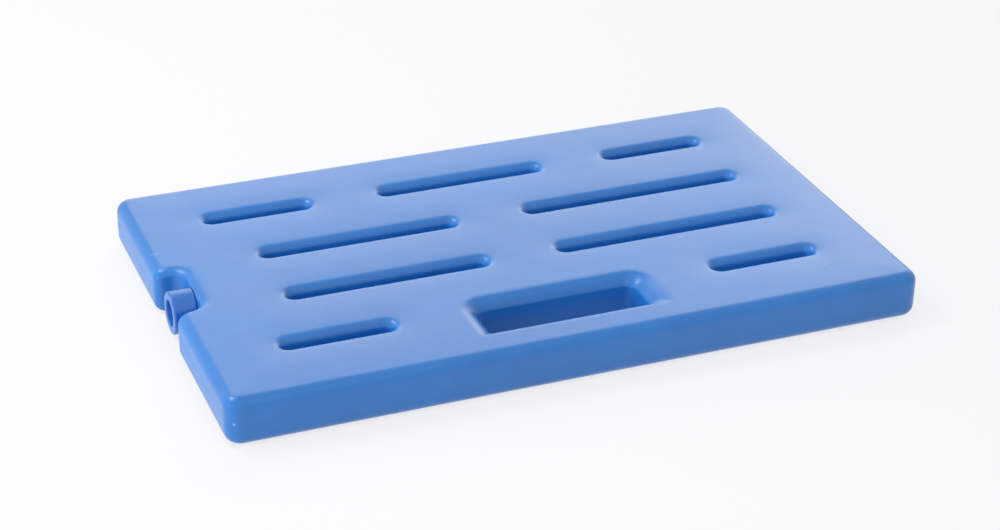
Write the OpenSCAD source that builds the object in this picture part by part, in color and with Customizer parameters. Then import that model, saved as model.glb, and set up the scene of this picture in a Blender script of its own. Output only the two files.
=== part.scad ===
// Reusable ice pack: a blow-moulded slab of gel with a hand hole, tack-off slots and a filler cap.
// The origin is on the surface it lies on, under the middle of its outline, with +X along its length.

/* [Slab] */
// Length of the slab
pack_l = 530; // [460:1:600]
// Width of the slab
pack_w = 325; // [300:1:380]
// Thickness of the slab
pack_t = 38; // [36:1:44]
// Radius of the four upright corners
corner_r = 12; // [10:0.5:20]
// Radius where the faces turn into the sides
edge_r = 9; // [6:0.5:10]
// How far each upright wall leans in from the parting line to the edge radius
wall_lean = 0.2; // [0.1:0.05:0.5]

/* [Tack-off slots] */
// Distance between two rows of slots
row_pitch = 66.8; // [60:0.2:72]
// How far the rows of slots lie behind the middle of the slab
row_shift = 2.3; // [0:0.1:4]
// Width of a slot at the face
slot_w = 25; // [24:0.5:28]
// Radius of the lip round a slot
slot_lip_r = 7.5; // [5:0.5:8]
// How far a slot's wall leans in from its lip to its floor
slot_lean = 0.6; // [0.2:0.1:1]
// Radius round the floor of a slot
slot_floor_r = 3; // [1:0.5:3]
// Thickness of the web where the two mould halves pinch the walls together
web_t = 4; // [3:0.5:8]
// Length of the slot in the middle of the back row
mid_slot_l = 147.5; // [120:0.5:160]
// Distance between two slots of a row
slot_gap = 44.5; // [36:0.5:56]
// Distance from a side of the slab to the nearest slot
slot_margin = 50.5; // [46:0.5:60]
// How much shorter the two slots behind the filler notch are
notch_relief = 25; // [15:1:40]

/* [Hand hole] */
// Length of the hand hole at the face
hand_l = 154; // [140:1:160]
// Width of the hand hole at the face
hand_w = 57.5; // [54:0.5:64]
// Distance from the front of the slab to the hand hole at the face
grip_w = 24.2; // [22:0.2:30]
// Radius of the lip round the hand hole
hand_lip_r = 11; // [8:0.5:12]
// Radius of the hand hole's corners at the face
hand_corner_r = 17.5; // [14:0.5:20]

/* [Filler notch] */
// Width of the notch between its walls at the parting line
notch_w = 54.4; // [48:0.4:64]
// Depth of the notch at the parting line
notch_depth = 21.4; // [20:0.2:26]
// How far the notch lies behind the middle of the slab
notch_shift = 1.8; // [0:0.1:4]
// Radius of the notch's two inner corners at the face
notch_corner_r = 19.5; // [14:0.5:22]
// Radius of the two corners at the notch's mouth
mouth_r = 9.5; // [9.5:0.5:14]

/* [Filler neck and cap] */
// Diameter of the neck that the cap sits on
neck_d = 22; // [18:0.5:24]
// Outer diameter of the cap
cap_d = 32.2; // [30:0.2:34]
// Length of the cap
cap_l = 17.6; // [16:0.2:20]
// Open space between the cap and the notch's inner wall at the parting line
cap_gap = 1.1; // [0.5:0.1:2]
// Clearance between the neck and the cap round it
cap_fit = 0.2; // [0.1:0.05:0.3]
// Thickness of the cap's web between its socket and its recess
cap_web = 2.6; // [2:0.2:4]
// Diameter of the recess in the cap's outer end
recess_d = 20; // [16:0.5:22]
// Depth of the recess in the cap's outer end
recess_depth = 6.5; // [5:0.5:8]
// Radius round the cap's outer end
cap_edge_r = 1.4; // [0.6:0.2:2]
// Radius round the mouth of the recess
recess_edge_r = 0.8; // [0.4:0.2:1.2]

/* [Hidden] */
$fn = 64;
past = 4;
mid_z = pack_t / 2;
side_x = pack_l / 2;
side_y = pack_w / 2;
notch_x = notch_depth - side_x;
neck_root = 8;
slot_end_x = side_x - slot_margin;
slot_floor_z = mid_z + web_t / 2;
socket_depth = cap_l - cap_web - recess_depth;
neck_l = cap_gap + socket_depth;
hand_y = grip_w + hand_w / 2 - side_y;
row_y = [for (i = [0:3]) row_shift + row_pitch * (1.5 - i)];
outer_slots = [
    [-slot_end_x, -mid_slot_l / 2 - slot_gap],
    [mid_slot_l / 2 + slot_gap, slot_end_x]
];
middle_slot = [[-mid_slot_l / 2, mid_slot_l / 2]];
long_slots = [[notch_relief - slot_end_x, -slot_gap / 2], [slot_gap / 2, slot_end_x]];
row_slots = [concat(outer_slots, middle_slot), long_slots, long_slots, outer_slots];

// One wall of the slab in section, from x = 0 out to reach at the parting line.
module wall_section(reach) {
    face_x = reach - wall_lean;
    difference() {
        polygon([
            [0, 0], [face_x - edge_r, 0], [face_x, 0], [face_x, edge_r], [reach, mid_z],
            [face_x, pack_t - edge_r], [face_x, pack_t], [face_x - edge_r, pack_t], [0, pack_t]
        ]);
        for (z = [0, pack_t])
            difference() {
                translate([face_x - edge_r, min(z, pack_t - edge_r)]) square(edge_r);
                translate([face_x - edge_r, abs(z - edge_r)]) circle(edge_r);
            }
    }
}

// An opening right through the slab in section, from x = 0 out to reach at the faces.
module through_section(reach, lip_r) {
    difference() {
        polygon([
            [0, 0], [reach, 0], [reach, lip_r], [reach - lip_r, lip_r],
            [reach - lip_r - wall_lean, mid_z],
            [reach - lip_r, pack_t - lip_r], [reach, pack_t - lip_r], [reach, pack_t], [0, pack_t]
        ]);
        for (z = [lip_r, pack_t - lip_r])
            translate([reach, z]) circle(lip_r);
    }
}

// Half of a slot in section, from its middle line out to its rim at the face.
module slot_section() {
    rim = slot_w / 2;
    wall_x = rim - slot_lip_r;
    floor_x = wall_x - slot_lean - slot_floor_r;
    fillet_z = slot_floor_z + slot_floor_r;
    difference() {
        union() {
            polygon([
                [0, slot_floor_z], [floor_x, slot_floor_z], [floor_x, fillet_z],
                [floor_x + slot_floor_r, fillet_z], [wall_x, pack_t - slot_lip_r],
                [rim, pack_t - slot_lip_r], [rim, pack_t], [0, pack_t]
            ]);
            intersection() {
                translate([floor_x, fillet_z]) circle(slot_floor_r);
                translate([floor_x, slot_floor_z]) square(slot_floor_r);
            }
        }
        translate([rim, pack_t - slot_lip_r]) circle(slot_lip_r);
    }
}

// Carries a section that stands in x and z along x, from x0 to x1, facing +y.
module along_x(x0, x1) {
    translate([x0, 0, 0])
        rotate([90, 0, 90])
            linear_extrude(x1 - x0)
                children();
}

// Carries a section that stands in x and z along y, from y0 to y1, facing +x.
module along_y(y0, y1) {
    translate([0, y1, 0])
        rotate([90, 0, 0])
            linear_extrude(y1 - y0)
                children();
}

// The slab's outer form, with every face turning into the sides at the same radius.
module slab() {
    for (side = [0, 1]) {
        mirror([0, side, 0])
            along_x(corner_r - side_x, side_x - corner_r)
                wall_section(side_y);
        mirror([side, 0, 0])
            along_y(corner_r - side_y, side_y - corner_r)
                wall_section(side_x);
    }
    for (x = [-1, 1], y = [-1, 1])
        translate([x * (side_x - corner_r), y * (side_y - corner_r), 0])
            rotate_extrude()
                wall_section(corner_r);
}

// One slot cut into the upper face, with round ends from x0 to x1 at the face.
module slot(x0, x1, y) {
    end_r = slot_w / 2;
    translate([0, y, 0]) {
        for (side = [0, 1])
            mirror([0, side, 0])
                along_x(x0 + end_r, x1 - end_r)
                    slot_section();
        translate([x0 + end_r, 0, 0])
            rotate([0, 0, 90])
                rotate_extrude(angle = 180)
                    slot_section();
        translate([x1 - end_r, 0, 0])
            rotate([0, 0, -90])
                rotate_extrude(angle = 180)
                    slot_section();
    }
}

// The hand hole, with the same lip round it on both faces.
module hand_hole() {
    straight_x = hand_l / 2 - hand_corner_r;
    straight_y = hand_w / 2 - hand_corner_r;
    translate([0, hand_y, 0]) {
        for (side = [0, 1]) {
            mirror([0, side, 0])
                along_x(-straight_x, straight_x)
                    through_section(hand_w / 2, hand_lip_r);
            mirror([side, 0, 0])
                along_y(-straight_y, straight_y)
                    through_section(hand_l / 2, hand_lip_r);
        }
        for (x = [-1, 1], y = [-1, 1])
            translate([x * straight_x, y * straight_y, 0])
                rotate_extrude()
                    through_section(hand_corner_r, hand_lip_r);
    }
}

// The notch for the filler cap, open to the left side and through both faces.
module filler_notch() {
    face_y = notch_w / 2 + wall_lean + edge_r;
    face_x = notch_x + wall_lean + edge_r;
    corner_x = face_x - notch_corner_r;
    corner_y = face_y - notch_corner_r;
    translate([0, notch_shift, 0]) {
        for (side = [0, 1])
            mirror([0, side, 0]) {
                along_x(-side_x - past, corner_x)
                    through_section(face_y, edge_r);
                translate([corner_x, corner_y, 0])
                    rotate_extrude()
                        through_section(notch_corner_r, edge_r);
                mouth_corner();
            }
        translate([corner_x, 0, 0])
            along_y(-corner_y, corner_y)
                through_section(notch_corner_r, edge_r);
    }
}

// What rounds off one corner of the notch's mouth.
module mouth_corner() {
    centre = [mouth_r - side_x, notch_w / 2 + mouth_r];
    difference() {
        translate([-side_x - past, 0, -past])
            cube([mouth_r + past, centre.y, pack_t + 2 * past]);
        translate([centre.x, centre.y, 0])
            rotate_extrude()
                wall_section(mouth_r);
    }
}

// The neck, standing in the notch with its root in the slab.
module filler_neck() {
    translate([notch_x + neck_root, notch_shift, mid_z])
        rotate([0, -90, 0])
            cylinder(d = neck_d, h = neck_root + neck_l);
}

// The slab with its slots, hand hole, notch and neck, moulded in one piece.
module pack_body() {
    color([0.36, 0.54, 0.80]) {
        difference() {
            slab();
            filler_notch();
            hand_hole();
            for (row = [0:3], span = row_slots[row]) {
                slot(span[0], span[1], row_y[row]);
                translate([0, 0, pack_t])
                    mirror([0, 0, 1])
                        slot(span[0], span[1], row_y[row]);
            }
        }
        filler_neck();
    }
}

// Half of the cap in section, with x as its radius and y from its inner end outwards.
module cap_section() {
    outer_r = cap_d / 2;
    recess_r = recess_d / 2;
    socket_r = neck_d / 2 + cap_fit;
    difference() {
        square([outer_r, cap_l]);
        square([socket_r, socket_depth]);
        translate([0, cap_l - recess_depth])
            square([recess_r, recess_depth]);
        difference() {
            translate([outer_r - cap_edge_r, cap_l - cap_edge_r]) square(cap_edge_r);
            translate([outer_r - cap_edge_r, cap_l - cap_edge_r]) circle(cap_edge_r);
        }
        difference() {
            translate([recess_r, cap_l - recess_edge_r]) square(recess_edge_r);
            translate([recess_r + recess_edge_r, cap_l - recess_edge_r]) circle(recess_edge_r);
        }
    }
}

// The cap, seated on the end of the neck.
module filler_cap() {
    color([0.27, 0.46, 0.76])
        translate([notch_x - cap_gap, notch_shift, mid_z])
            rotate([0, -90, 0])
                rotate_extrude()
                    cap_section();
}

pack_body();
filler_cap();
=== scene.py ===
import math

import bmesh
import bpy
import numpy as np
from mathutils import Matrix, Vector
from mathutils.geometry import delaunay_2d_cdt


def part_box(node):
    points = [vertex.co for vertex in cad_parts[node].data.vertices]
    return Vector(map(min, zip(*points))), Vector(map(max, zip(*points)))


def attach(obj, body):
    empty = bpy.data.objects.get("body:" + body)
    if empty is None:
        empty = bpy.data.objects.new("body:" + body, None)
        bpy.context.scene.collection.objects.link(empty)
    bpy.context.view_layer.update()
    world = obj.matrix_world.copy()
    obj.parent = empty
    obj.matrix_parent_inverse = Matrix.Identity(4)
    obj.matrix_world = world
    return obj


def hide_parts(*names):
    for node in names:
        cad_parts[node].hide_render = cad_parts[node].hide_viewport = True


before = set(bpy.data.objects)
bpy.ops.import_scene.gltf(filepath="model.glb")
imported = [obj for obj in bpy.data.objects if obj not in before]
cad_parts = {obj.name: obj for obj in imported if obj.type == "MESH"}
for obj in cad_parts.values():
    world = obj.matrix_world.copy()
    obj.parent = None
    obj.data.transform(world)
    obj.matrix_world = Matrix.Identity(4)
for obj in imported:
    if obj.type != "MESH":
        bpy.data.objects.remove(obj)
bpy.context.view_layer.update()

# Lengths are in millimetres until a mesh, a lamp or the camera is placed.
MM = 0.001

# The slab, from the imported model
low, high = (np.array(corner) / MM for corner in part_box("pack_body"))
SIDE_X, SIDE_Y = (high[:2] - low[:2]) / 2
THICK = high[2]
MID_Z = THICK / 2
CORNER_R = 12
EDGE_R = 9
WALL_LEAN = 0.2
SEAM_H = 0.12
SEAM_W = 0.7
# The rows of points across half of the seam, in widths of the seam
SEAM_ROWS = (1.2, 0.8, 0.4, 0)

# The tack-off slots
ROW_PITCH = 66.8
ROW_SHIFT = 2.3
SLOT_W = 25
SLOT_LIP_R = 7.5
SLOT_LEAN = 0.6
SLOT_FLOOR_R = 3
WEB = 4
MID_SLOT = 147.5
SLOT_GAP = 44.5
SLOT_MARGIN = 50.5
NOTCH_RELIEF = 25

# The hand hole: its rim at the face, whose near corners are sharper, and its walls. Radii are those
# of the far left, far right, near right and near left corners. The lip is partly straight.
HAND_L = 149
HAND_W = 53
GRIP_W = 26.4
HAND_RIM_R = (18, 17, 3, 3)
HAND_WALL_L = 123
HAND_WALL_W = 35.5
HAND_WALL_R = 7
HAND_LIP_DEPTH = 8.5
HAND_LIP_STRAIGHT = 0.5
HAND_Y = GRIP_W + HAND_W / 2 - SIDE_Y

# The filler notch, which flares towards its mouth: its walls at the parting line, its rim at the
# face, and the lips between them
NOTCH_Y = 1.8
NOTCH_X = 20.4 - SIDE_X
NOTCH_INNER_W = 56
NOTCH_MOUTH_W = 63
NOTCH_WALL_R = 12
NOTCH_RIM_R = 17.5
NOTCH_LIP = 7
INNER_LIP = 12
INNER_DEPTH = 4.5
MOUTH_WALL_R = 7
MOUTH_RIM_R = 6

# The neck and the cap. The neck's ring, close to its root, keeps the shading of its side even.
NECK_R = 11
NECK_ROOT = 2
NECK_RING = 1.1
NECK_EDGE = 0.5
CAP_INNER_X = 20.3 - SIDE_X
CAP_L = 17.6
CAP_R = 16.1
CAP_EDGE_R = 1.4
RECESS_R = 10
RECESS_DEPTH = 6.5
RECESS_EDGE_R = 0.8
RECESS_FLOOR_R = 1
SOCKET_R = 11.2
SOCKET_DEPTH = 8.5
SOCKET_CHAMFER = 0.3
INNER_END_R = 0.6

# How many sides the turned pieces have, and the radius of their profiles' ends, which welding closes
NECK_SIDES = 64
CAP_SIDES = 96
POLE_R = 0.01

# How many pieces each straight stretch is cut into: those of the outline, from the near side on
# round with the notch in the left side, and the hand hole's along x and y. A slot's go by length.
SIDE_STEPS = (144, 86, 144, 28, 6, 24, 6, 30)
HAND_STEPS = (52, 12)
SLOT_STEP = 3

# How the faces sink: by each slot, where the moulded walls are pinched, towards the pack's edges,
# and in the middle
PINCH_SINK = 0.7
PINCH_REACH = 22
EDGE_SINK = 0.7
EDGE_REACH = 35
BOW_SINK = 0.3


def arc(centre, radius, start, end, count):
    """Points at centre + radius * (cos, sin) of an angle that goes evenly from start to end, in degrees."""
    angle = np.radians(np.linspace(start, end, count))
    return np.column_stack([centre[0] + radius * np.cos(angle), centre[1] + radius * np.sin(angle)])


def plan_path(corners, radii, counts, turns=12):
    """A closed outline in plan, with the material on its left, and the unit normals that point off it.

    Each corner is an arc that is tangent to both of its sides: its centre lies radius away from the
    arc's start, and its normals turn evenly from one side's to the other's. counts gives how many
    equal pieces the straight stretch that follows each corner is cut into.
    """
    corners = np.array(corners, float)
    before = corners - np.roll(corners, 1, 0)
    before /= np.linalg.norm(before, axis=1)[:, None]
    after = np.roll(before, -1, 0)
    turn = np.arctan2(before[:, 0] * after[:, 1] - before[:, 1] * after[:, 0], (before * after).sum(1))
    radii = np.array(radii, float)
    cut = (radii * np.tan(np.abs(turn) / 2))[:, None]
    starts, ends = corners - before * cut, corners + after * cut
    points, normals = [], []
    for i, bend in enumerate(turn):
        first = math.atan2(-before[i, 0], before[i, 1])
        angle = first + bend * np.linspace(0, 1, turns)
        normal = np.column_stack([np.cos(angle), np.sin(angle)])
        side = math.copysign(radii[i], bend)
        centre = starts[i] - side * normal[0]
        points.append(centre + side * normal)
        normals.append(normal)
        gap = starts[(i + 1) % len(corners)] - ends[i]
        share = np.arange(1, counts[i])[:, None] / counts[i]
        points.append(ends[i] + share * gap)
        normals.append(np.repeat(normal[-1:], len(share), 0))
    points, normals = np.concatenate(points), np.concatenate(normals)
    apart = np.linalg.norm(points - np.roll(points, 1, 0), axis=1) > 1e-6
    return points[apart], normals[apart]


def hole_path(centre, size, radii, counts, turns=12):
    """The outline of a rectangular hole with round corners, run clockwise from its far left corner.
    radii are those of the corners in that order, and counts the pieces along x and along y."""
    half = np.array(size) / 2
    corners = [np.array(centre) + half * sign for sign in ((-1, 1), (1, 1), (1, -1), (-1, -1))]
    return plan_path(corners, radii, list(counts) * 2, turns)


def carried(path, profile):
    """A profile of (inset, z) rows carried round a plan path: point - inset * normal, at height z."""
    points, normals = path
    inset, z = profile[:, :1, None], profile[:, 1]
    flat = points[None] - inset * normals[None]
    return np.concatenate([flat, np.broadcast_to(z[:, None, None], (*flat.shape[:2], 1))], 2)


def band_faces(rows, columns, first):
    """Quads between the rows of a closed band whose columns run round it, as indices from first on."""
    i, j = np.meshgrid(np.arange(rows - 1), np.arange(columns), indexing="ij")
    k = (j + 1) % columns
    quads = np.stack([i * columns + j, (i + 1) * columns + j, (i + 1) * columns + k, i * columns + k], 2)
    return first + quads.reshape(-1, 4)


def lipped_wall(rim, wall, depth, seam, straight=0.0, count=13):
    """A wall from face to face between a rim path and the path of its parting line.

    Under the face a point goes from the rim to the wall as a quarter ellipse: by sin(a) of the way in
    plan and 1 - cos(a) of the depth, with a from 0 to 90 degrees. A share, straight, of both is a / 90
    instead, which makes the lip a slope. From there the wall leans out to the parting line, where a
    seam of the height seam stands out as a bell curve. The lower half is the mirror image.
    """
    (rim, _), (wall, normal) = rim, wall
    height = np.broadcast_to(MID_Z - depth, len(wall))
    even = np.linspace(0, 1, count)[:, None]
    a = even * math.pi / 2
    across = straight * even + (1 - straight) * np.sin(a)
    down = straight * even + (1 - straight) * (1 - np.cos(a))
    lip = rim + across[..., None] * (wall - WALL_LEAN * normal - rim)
    lip_z = THICK + down * (height - MID_Z)
    rise = np.concatenate([
        np.linspace(height, 2 * SEAM_W, 5)[1:],
        np.repeat(SEAM_W * np.array(SEAM_ROWS)[:, None], len(wall), 1),
    ])
    share = rise / height
    inset = WALL_LEAN * share + seam * (1 - share) * (1 - np.exp(-((2 * rise / SEAM_W) ** 2)))
    upright = wall - inset[..., None] * normal
    plan, z = np.concatenate([lip, upright]), np.concatenate([lip_z, MID_Z + rise])
    upper = np.concatenate([plan, z[..., None]], 2)
    lower = upper[-2::-1] * [1, 1, -1] + [0, 0, THICK]
    return np.concatenate([upper, lower])


def slot_profile():
    """From the face over the lip's quarter circle, down the leaning wall, round the floor's
    quarter circle and in to the middle line."""
    floor_z = MID_Z + WEB / 2
    lip = arc((SLOT_LIP_R, THICK - SLOT_LIP_R), SLOT_LIP_R, 90, 180, 7)
    floor = arc((-SLOT_LEAN - SLOT_FLOOR_R, floor_z + SLOT_FLOOR_R), SLOT_FLOOR_R, 0, -90, 5)
    share = np.linspace(0, 1, 4)[1:-1, None]
    wall = lip[-1] + share * (floor[0] - lip[-1])
    middle = np.array([[SLOT_LIP_R - SLOT_W / 2, floor_z]])
    return np.concatenate([lip, wall, floor, middle])


def slot_spans():
    """Every slot as (x0, x1, y): its ends at the face and its row's middle line."""
    end = SIDE_X - SLOT_MARGIN
    outer = [(-end, -MID_SLOT / 2 - SLOT_GAP), (MID_SLOT / 2 + SLOT_GAP, end)]
    middle = [(-MID_SLOT / 2, MID_SLOT / 2)]
    long = [(NOTCH_RELIEF - end, -SLOT_GAP / 2), (SLOT_GAP / 2, end)]
    rows = [outer + middle, long, long, outer]
    return [(*span, ROW_SHIFT + ROW_PITCH * (1.5 - i)) for i, row in enumerate(rows) for span in row]


def slot_distance(x, y):
    """Distance from each point to the nearest slot's rim: that to the slot's middle segment, less
    half its width."""
    nearest = np.full(x.shape, np.inf)
    for x0, x1, row_y in slot_spans():
        along = np.clip(x, x0 + SLOT_W / 2, x1 - SLOT_W / 2)
        nearest = np.minimum(nearest, np.hypot(x - along, y - row_y) - SLOT_W / 2)
    return nearest


def loop_room(points, loops, block_size=2000):
    """How far each point lies inside the first loop and outside the others: the distance to the
    nearest edge, above 0 where a ray along +x crosses an odd count of edges. The points are taken in
    blocks, to save memory."""
    nearest, crossings = np.full(len(points), np.inf), np.zeros(len(points), int)
    for loop in loops:
        start, end = loop, np.roll(loop, -1, 0)
        way = end - start
        for first in range(0, len(points), block_size):
            last = first + block_size
            block = points[first:last, None]
            share = np.clip(((block - start) * way).sum(2) / (way ** 2).sum(1), 0, 1)
            away = np.linalg.norm(block - start - share[..., None] * way, axis=2).min(1)
            nearest[first:last] = np.minimum(nearest[first:last], away)
            spans = (start[:, 1] > block[..., 1]) != (end[:, 1] > block[..., 1])
            rise = np.where(way[:, 1] == 0, 1, way[:, 1])
            cross_x = start[:, 0] + (block[..., 1] - start[:, 1]) / rise * way[:, 0]
            crossings[first:last] += (spans & (cross_x > block[..., 0])).sum(1)
    return np.where(crossings % 2 == 1, nearest, -nearest)


def flat_face(rims, spacing=4.0, margin=1.6):
    """The flat face between the rims, as plan points and triangles: a Delaunay mesh of the rims' own
    points and an even grid that keeps off them by the margin, less the triangles whose middles lie
    in an opening."""
    loops, edges, first = [], [], 0
    for rim in rims:
        index = first + np.arange(len(rim))
        edges.append(np.column_stack([index, np.roll(index, -1)]))
        loops.append(rim)
        first += len(rim)
    x, y = np.meshgrid(np.arange(-SIDE_X, SIDE_X, spacing), np.arange(-SIDE_Y, SIDE_Y, spacing))
    grid = np.column_stack([x.ravel(), y.ravel()])
    grid = grid[loop_room(grid, loops) > margin]
    points = np.concatenate([*loops, grid])
    made = delaunay_2d_cdt(points.tolist(), np.concatenate(edges).tolist(), [], 1, 1e-6)
    flat = np.array([tuple(p) for p in made[0]])
    triangles = np.array(made[2])
    return flat, triangles[loop_room(flat[triangles].mean(1), loops) > 0]


def sunk(points):
    """The moulding's unevenness. Each face sinks by PINCH_SINK at a slot's rim and by EDGE_SINK at the
    pack's, both dying away as (1 - distance / reach) ** 2, and by up to BOW_SINK towards the slab's
    middle as 1 - (x / side) ** 2. The walls follow in proportion to their height from the parting line."""
    x, y, z = points.T
    from_edge = np.minimum(SIDE_X - np.abs(x), SIDE_Y - np.abs(y)) - EDGE_R
    pinch = PINCH_SINK * (1 - np.clip(slot_distance(x, y) / PINCH_REACH, 0, 1)) ** 2
    edge = EDGE_SINK * (1 - np.clip(from_edge / EDGE_REACH, 0, 1)) ** 2
    bow = BOW_SINK * (1 - (x / SIDE_X) ** 2)
    lift = (z - MID_Z) / MID_Z
    return np.column_stack([x, y, z - (pinch + edge + bow) * lift])


def mesh_piece(name, parts, weld):
    """One object from (points, faces) parts, in millimetres, with the places in the mesh. Points
    closer together than weld become one, and the faces are turned outwards."""
    points, faces, first = [], [], 0
    for part_points, part_faces in parts:
        points.append(part_points)
        faces += (np.asarray(part_faces) + first).tolist()
        first += len(part_points)
    mesh = bpy.data.meshes.new(name)
    mesh.from_pydata((np.concatenate(points) * MM).tolist(), [], faces)
    shape = bmesh.new()
    shape.from_mesh(mesh)
    bmesh.ops.remove_doubles(shape, verts=shape.verts, dist=weld * MM)
    bmesh.ops.dissolve_degenerate(shape, edges=shape.edges, dist=weld * MM)
    bmesh.ops.recalc_face_normals(shape, faces=shape.faces)
    shape.to_mesh(mesh)
    shape.free()
    mesh.polygons.foreach_set("use_smooth", np.ones(len(mesh.polygons), bool))
    piece = bpy.data.objects.new(name, mesh)
    bpy.context.scene.collection.objects.link(piece)
    return piece


def turned(profile, count, centre, start_x):
    """A profile of (distance along the axis, radius) turned about an axis along -x: at each angle a
    point is (start_x - distance, radius * cos, radius * sin) from the centre."""
    angle = 2 * math.pi * np.arange(count) / count
    distance, radius = profile[:, :1], profile[:, 1:]
    x = np.broadcast_to(start_x - distance, (len(profile), count))
    points = np.stack([x, centre[0] + radius * np.cos(angle), centre[1] + radius * np.sin(angle)], 2)
    return points.reshape(-1, 3), band_faces(len(profile), count, 0)


def side_path(inset, lips, radii):
    """The pack's outline with the notch: its sides moved in by inset, and the notch's flared walls and
    inner wall moved back by lips. radii are those of the pack's, the mouth's and the inner corners."""
    x, y = SIDE_X - inset, SIDE_Y - inset
    inner = NOTCH_X + lips[1]
    flare = (NOTCH_MOUTH_W - NOTCH_INNER_W) / 2 / (SIDE_X + NOTCH_X)
    back = lips[0] * math.hypot(1, flare)
    mouth_w = NOTCH_MOUTH_W / 2 + back - flare * inset
    inner_w = NOTCH_INNER_W / 2 + back - flare * lips[1]
    corners = [
        (-x, -y), (x, -y), (x, y), (-x, y),
        (-x, NOTCH_Y + mouth_w), (inner, NOTCH_Y + inner_w),
        (inner, NOTCH_Y - inner_w), (-x, NOTCH_Y - mouth_w),
    ]
    pack, mouth, notch = radii
    return plan_path(corners, [pack] * 4 + [mouth, notch, notch, mouth], SIDE_STEPS)


def shell_of_pack():
    """The slab's moulded shell: the side wall with the notch, the hand hole, the slots from both
    faces, and the two flat faces between their rims. The side wall's lip is EDGE_R deep, NOTCH_LIP
    inside the notch and INNER_DEPTH at its inner wall, with even changes between them."""
    rim = EDGE_R + WALL_LEAN
    outline = side_path(0, (0, 0), (CORNER_R, MOUTH_WALL_R, NOTCH_WALL_R))
    rim_path = side_path(rim, (NOTCH_LIP, INNER_LIP), (CORNER_R - rim, MOUTH_RIM_R, NOTCH_RIM_R))
    wall_x, wall_y = outline[0].T
    in_notch = (wall_x < 0) & (np.abs(wall_y - NOTCH_Y) < NOTCH_MOUTH_W / 2 + MOUTH_WALL_R)
    inside = in_notch * np.clip((wall_x + SIDE_X) / MOUTH_WALL_R, 0, 1)
    innermost = in_notch * np.clip(1 + (wall_x - NOTCH_X) / NOTCH_WALL_R, 0, 1)
    depth = EDGE_R + (NOTCH_LIP - EDGE_R) * inside + (INNER_DEPTH - NOTCH_LIP) * innermost
    side = lipped_wall(rim_path, outline, depth, SEAM_H)
    hand = (0, HAND_Y)
    hole = lipped_wall(
        hole_path(hand, (HAND_L, HAND_W), HAND_RIM_R, HAND_STEPS),
        hole_path(hand, (HAND_WALL_L, HAND_WALL_W), [HAND_WALL_R] * 4, HAND_STEPS),
        HAND_LIP_DEPTH, 0, HAND_LIP_STRAIGHT,
    )
    bands = [(side.reshape(-1, 3), band_faces(*side.shape[:2], 0))]
    bands.append((hole.reshape(-1, 3), band_faces(*hole.shape[:2], 0)))
    rims = [side[0, :, :2], hole[0, :, :2]]
    wall_w = SLOT_W - 2 * SLOT_LIP_R
    pocket_profile = slot_profile()
    for x0, x1, row_y in slot_spans():
        centre, size = ((x0 + x1) / 2, row_y), (x1 - x0 - 2 * SLOT_LIP_R, wall_w)
        counts = (int(round((x1 - x0) / SLOT_STEP)), 1)
        pocket = carried(hole_path(centre, size, [wall_w / 2] * 4, counts, 9), pocket_profile)
        faces = band_faces(*pocket.shape[:2], 0)
        rims.append(pocket[0, :, :2])
        bands.append((pocket.reshape(-1, 3), faces))
        under = pocket * [1, 1, -1] + [0, 0, THICK]
        bands.append((under.reshape(-1, 3), faces[:, ::-1]))
    flat, triangles = flat_face(rims)
    for z, order in ((THICK, 1), (0.0, -1)):
        level = np.column_stack([flat, np.full(len(flat), z)])
        bands.append((level, triangles[:, ::order]))
    bands = [(sunk(points), faces) for points, faces in bands]
    return mesh_piece("moulded_shell", bands, weld=0.01)


def neck():
    """The neck, turned, from inside the notch's wall to the cap's web."""
    start_x = NOTCH_X + NECK_ROOT
    length = start_x - (CAP_INNER_X - SOCKET_DEPTH)
    profile = np.array([
        [0, POLE_R], [0, NECK_R], [NECK_RING, NECK_R],
        [length - NECK_EDGE, NECK_R], [length, NECK_R - NECK_EDGE], [length, POLE_R],
    ])
    return mesh_piece("filler_neck", [turned(profile, NECK_SIDES, (NOTCH_Y, MID_Z), start_x)], weld=0.05)


def cap():
    """The cap, turned: its socket, its plain round side, the ring of its outer end and the recess."""
    ring = arc((CAP_L - CAP_EDGE_R, CAP_R - CAP_EDGE_R), CAP_EDGE_R, 90, 0, 7)
    mouth = arc((CAP_L - RECESS_EDGE_R, RECESS_R + RECESS_EDGE_R), RECESS_EDGE_R, 0, -90, 5)
    floor_x = CAP_L - RECESS_DEPTH
    recess = arc((floor_x + RECESS_FLOOR_R, RECESS_R - RECESS_FLOOR_R), RECESS_FLOOR_R, 90, 180, 5)
    inner_end = arc((INNER_END_R, CAP_R - INNER_END_R), INNER_END_R, 180, 90, 4)
    side = np.column_stack([np.linspace(1.5, CAP_L - CAP_EDGE_R - 0.5, 6), np.full(6, CAP_R)])
    profile = np.concatenate([
        [[SOCKET_DEPTH, POLE_R], [SOCKET_DEPTH, SOCKET_R]],
        [[SOCKET_CHAMFER, SOCKET_R], [0, SOCKET_R + SOCKET_CHAMFER]],
        inner_end, side, ring, mouth, recess, [[floor_x, POLE_R]],
    ])
    parts = [turned(profile, CAP_SIDES, (NOTCH_Y, MID_Z), CAP_INNER_X)]
    return mesh_piece("cap_moulding", parts, weld=0.05)


def linear(red, green, blue):
    """Colour values as they look on a screen, from 0 to 255, turned into linear light."""
    c = np.array([red, green, blue]) / 255
    return (*np.where(c <= 0.04045, c / 12.92, ((c + 0.055) / 1.055) ** 2.4).tolist(), 1.0)


class Nodes:
    """Short calls to make and link the nodes of one material or world."""

    def __init__(self, owner):
        owner.use_nodes = True
        self.tree = owner.node_tree
        self.tree.nodes.clear()

    def add(self, kind, inputs=None, **settings):
        node = self.tree.nodes.new("ShaderNode" + kind)
        for key, value in settings.items():
            setattr(node, key, value)
        for key, value in (inputs or {}).items():
            if isinstance(value, bpy.types.NodeSocket):
                self.tree.links.new(value, node.inputs[key])
            else:
                node.inputs[key].default_value = value
        return node


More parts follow.
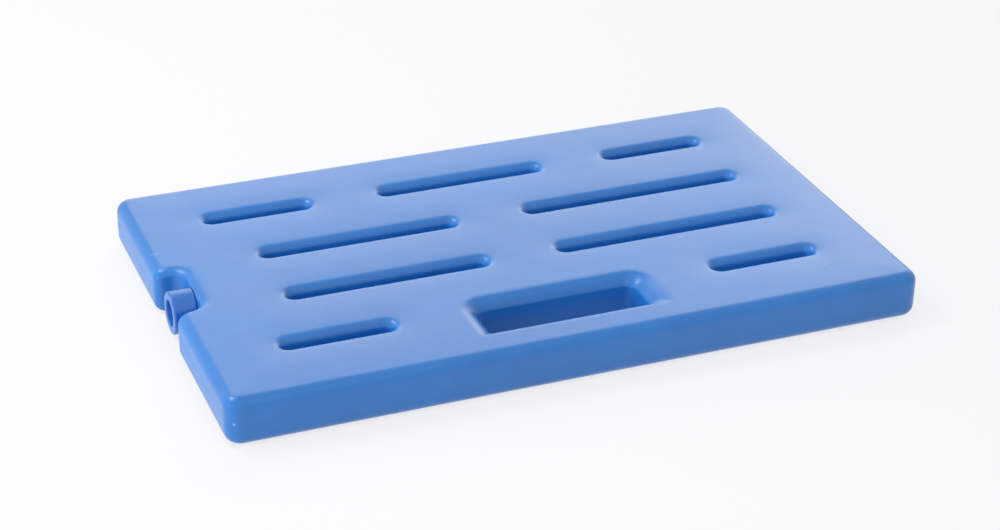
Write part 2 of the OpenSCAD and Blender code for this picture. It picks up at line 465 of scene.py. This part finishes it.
def marked(nodes, place, colour, marks):
    """The colour with small round marks, of wear and of painted highlight, each as its centre, radius,
    strength and own colour.
    A mark is full up to half its radius and fades out at the radius."""
    for centre, radius, strength, own in marks:
        middle = tuple(value * MM for value in centre)
        away = nodes.add("VectorMath", {0: place, 1: middle}, operation="DISTANCE")
        share = nodes.add("MapRange", {
            "Value": away.outputs["Value"], "From Min": radius * MM / 2, "From Max": radius * MM,
            "To Min": strength, "To Max": 0.0,
        })
        mix = nodes.add("MixRGB", {"Fac": share.outputs[0], "Color1": colour, "Color2": linear(*own)})
        colour = mix.outputs["Color"]
    return colour


def moulded_polyethylene(name, deep, pale, roughness, grain, marks=()):
    """Satin moulded polyethylene: two close blues in broad clouds with a few marks of wear and a painted
    highlight, a roughness that varies with them, and a fine moulded grain with a broader waviness as bump."""
    material = bpy.data.materials.new(name)
    nodes = Nodes(material)
    place = nodes.add("TexCoord").outputs["Object"]
    clouds = nodes.add("TexNoise", {"Vector": place, "Scale": 9.0, "Detail": 3.0, "Roughness": 0.55})
    mottle = nodes.add("TexNoise", {"Vector": place, "Scale": 55.0, "Detail": 2.0, "Roughness": 0.5})
    tone = nodes.add("Mix", {
        "Factor": 0.3, "A": clouds.outputs[0], "B": mottle.outputs[0],
    }, data_type="FLOAT")
    ramp = nodes.add("ValToRGB", {"Fac": tone.outputs[0]})
    ramp.color_ramp.elements[0].position, ramp.color_ramp.elements[0].color = 0.32, linear(*deep)
    ramp.color_ramp.elements[1].position, ramp.color_ramp.elements[1].color = 0.68, linear(*pale)
    low_r, high_r = roughness
    rough = nodes.add("MapRange", {
        "Value": clouds.outputs[0], "From Min": 0.3, "From Max": 0.7, "To Min": low_r, "To Max": high_r,
    })
    fine = nodes.add("TexNoise", {"Vector": place, "Scale": 700.0, "Detail": 2.0, "Roughness": 0.6})
    broad = nodes.add("TexNoise", {"Vector": place, "Scale": 40.0, "Detail": 1.0, "Roughness": 0.4})
    skin = nodes.add("Bump", {"Height": fine.outputs[0], "Strength": grain, "Distance": 0.0002})
    wave = nodes.add("Bump", {
        "Height": broad.outputs[0], "Strength": 0.25, "Distance": 0.0008, "Normal": skin.outputs[0],
    })
    colour = marked(nodes, place, ramp.outputs["Color"], marks)
    shader = nodes.add("BsdfPrincipled", {
        "Base Color": colour, "Roughness": rough.outputs[0], "IOR": 1.54,
        "Specular IOR Level": 0.62, "Normal": wave.outputs[0],
    })
    nodes.add("OutputMaterial", {"Surface": shader.outputs[0]})
    return material


def dress(piece, material, node):
    """Gives a piece its material and its body, and hides the imported part of the node that it replaces."""
    piece.data.materials.append(material)
    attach(piece, "root")
    if node:
        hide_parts(node)


# Marks of wear, pale scuffs and dark specks, and a painted highlight, each with its centre, radius, strength
# and colour
SCUFF_AND_HIGHLIGHT, SPECK = (150, 185, 235), (22, 62, 120)
WEAR_AND_HIGHLIGHT = [
    ((-259.6, 62.2, 36.1), 1.2, 0.45, SCUFF_AND_HIGHLIGHT), ((-257.6, 61.4, 36.7), 1.2, 0.6, SCUFF_AND_HIGHLIGHT),
    ((-255.6, 60.5, 37.0), 1.3, 0.5, SCUFF_AND_HIGHLIGHT), ((-257.8, 58.6, 36.7), 0.9, 0.4, SCUFF_AND_HIGHLIGHT),
    # A painted highlight: the pale mark on the near left corner where the parting line crosses it
    ((-259.8, -160.4, 19.5), 1.3, 0.6, SCUFF_AND_HIGHLIGHT),
    ((207.1, -127.8, 37.8), 1.1, 0.7, SPECK), ((141.5, -113.8, 37.4), 0.9, 0.5, SPECK),
]
shell_blue = moulded_polyethylene(
    "shell_polyethylene", deep=(24, 111, 191), pale=(35, 122, 203), roughness=(0.28, 0.36),
    grain=0.12, marks=WEAR_AND_HIGHLIGHT,
)
cap_blue = moulded_polyethylene(
    "cap_polyethylene", deep=(26, 104, 188), pale=(32, 110, 194), roughness=(0.26, 0.32), grain=0.06,
)
dress(shell_of_pack(), shell_blue, "pack_body")
dress(neck(), cap_blue, None)
dress(cap(), cap_blue, "filler_cap")


# The world's even light, how much of the floor's white shows to the camera and in the sheen, and
# how far the floor reaches from the middle, in metres
AMBIENT = 0.31
FLOOR_GLOW = 0.75
FLOOR_SHEEN = 1.0
FLOOR_REACH = 8


def white_world():
    """White where the camera or a reflection looks, and a dimmer even light everywhere else."""
    world = bpy.data.worlds.new("studio")
    bpy.context.scene.world = world
    nodes = Nodes(world)
    path = nodes.add("LightPath")
    seen = nodes.add("Math", {
        0: path.outputs["Is Camera Ray"], 1: path.outputs["Is Glossy Ray"],
    }, operation="MAXIMUM")
    clear = nodes.add("Math", {
        0: seen.outputs[0], 1: path.outputs["Is Transmission Ray"],
    }, operation="MAXIMUM")
    ambient = nodes.add("Background", {"Color": (0.93, 0.96, 1.0, 1), "Strength": AMBIENT})
    white = nodes.add("Background", {"Color": (1, 1, 1, 1), "Strength": 1.0})
    mix = nodes.add("MixShader", {0: clear.outputs[0], 1: ambient.outputs[0], 2: white.outputs[0]})
    nodes.add("OutputWorld", {"Surface": mix.outputs[0]})


def soft_lamp(name, place, aim, size, power, mirrored=True):
    """A square soft lamp in metres and watts, turned towards aim. One that isn't mirrored lights the
    object without showing in its sheen."""
    data = bpy.data.lights.new(name, "AREA")
    data.shape, data.size, data.energy = "SQUARE", size, power
    lamp = bpy.data.objects.new(name, data)
    bpy.context.scene.collection.objects.link(lamp)
    lamp.location = place
    lamp.rotation_euler = (Vector(aim) - Vector(place)).to_track_quat("-Z", "Y").to_euler()
    lamp.visible_glossy = mirrored


def pale_floor():
    """A wide pale floor at the height that the pack lies on, as a grid of three by three faces. The
    middle one, where the pack touches it, has no glow, so that it keeps the pack's shade."""
    middle = (SIDE_X - EDGE_R, SIDE_Y - EDGE_R)
    steps_x, steps_y = ((-FLOOR_REACH, -half * MM, half * MM, FLOOR_REACH) for half in middle)
    corners = [(x, y, 0) for y in steps_y for x in steps_x]
    faces = [(i, i + 1, i + 5, i + 4) for row in (0, 4, 8) for i in range(row, row + 3)]
    mesh = bpy.data.meshes.new("floor")
    mesh.from_pydata(corners, [], faces)
    floor = bpy.data.objects.new("floor", mesh)
    bpy.context.scene.collection.objects.link(floor)
    for name, glows in (("pale_floor", True), ("shaded_floor", False)):
        material = bpy.data.materials.new(name)
        nodes = Nodes(material)
        surface = nodes.add("BsdfDiffuse", {"Color": (0.90, 0.91, 0.93, 1)})
        if glows:
            glow = nodes.add("Emission", {"Color": (1, 1, 1, 1), "Strength": 1.0})
            light = nodes.add("LightPath")
            seen = nodes.add("Math", {
                0: light.outputs["Is Camera Ray"], 1: FLOOR_GLOW,
            }, operation="MULTIPLY")
            share = nodes.add("Math", {
                0: light.outputs["Is Glossy Ray"], 1: FLOOR_SHEEN, 2: seen.outputs[0],
            }, operation="MULTIPLY_ADD")
            surface = nodes.add("MixShader", {
                0: share.outputs[0], 1: surface.outputs[0], 2: glow.outputs[0],
            })
        nodes.add("OutputMaterial", {"Surface": surface.outputs[0]})
        mesh.materials.append(material)
    mesh.polygons[4].material_index = 1


white_world()
pale_floor()
soft_lamp("key", (-0.8, 0.5, 1.25), (-0.1, 0, 0), 0.55, 6.5)
soft_lamp("back_sheet", (0.9, 2.3, 1.2), (0, 0, 0), 2.4, 20.5)
soft_lamp("right_sheet", (1.9, 1.6, 1.1), (0, 0, 0), 1.6, 6.5)
soft_lamp("near_fill", (-0.2, -0.9, 1.3), (-0.05, -0.05, 0), 1.0, 6, mirrored=False)
soft_lamp("front_fill", (-0.6, -2.6, 0.75), (0, 0, 0), 1.6, 9, mirrored=False)
soft_lamp("left_fill", (-2.4, 0, 0.45), (0, 0, 0), 1.2, 37, mirrored=False)

# The camera, fitted to the photograph: metres, degrees, the lens in widths of the frame, and the
# sensor's width in millimetres
CAMERA_PLACE = (-0.5882, -1.4471, 0.8556)
CAMERA_AZIMUTH, CAMERA_ELEVATION, CAMERA_ROLL = -21.925, 28.398, 0.915
LENS_WIDTHS = 2.3307
SENSOR_W = 36


def place_camera():
    """Looks along the azimuth and elevation, turned about its own axis by the roll."""
    turn, rise, roll = (math.radians(a) for a in (CAMERA_AZIMUTH, CAMERA_ELEVATION, CAMERA_ROLL))
    back = Vector((math.sin(turn) * math.cos(rise), -math.cos(turn) * math.cos(rise), math.sin(rise)))
    right = Vector((0, 0, 1)).cross(back).normalized()
    up = back.cross(right)
    level = Matrix((right, up, back)).transposed()
    data = bpy.data.cameras.new("camera")
    data.sensor_width = SENSOR_W
    data.lens = SENSOR_W * LENS_WIDTHS
    data.clip_end = 50
    camera = bpy.data.objects.new("camera", data)
    bpy.context.scene.collection.objects.link(camera)
    camera.matrix_world = Matrix.Translation(CAMERA_PLACE) @ (level @ Matrix.Rotation(roll, 3, "Z")).to_4x4()
    bpy.context.scene.camera = camera


place_camera()
bpy.context.scene.view_settings.view_transform = "Standard"
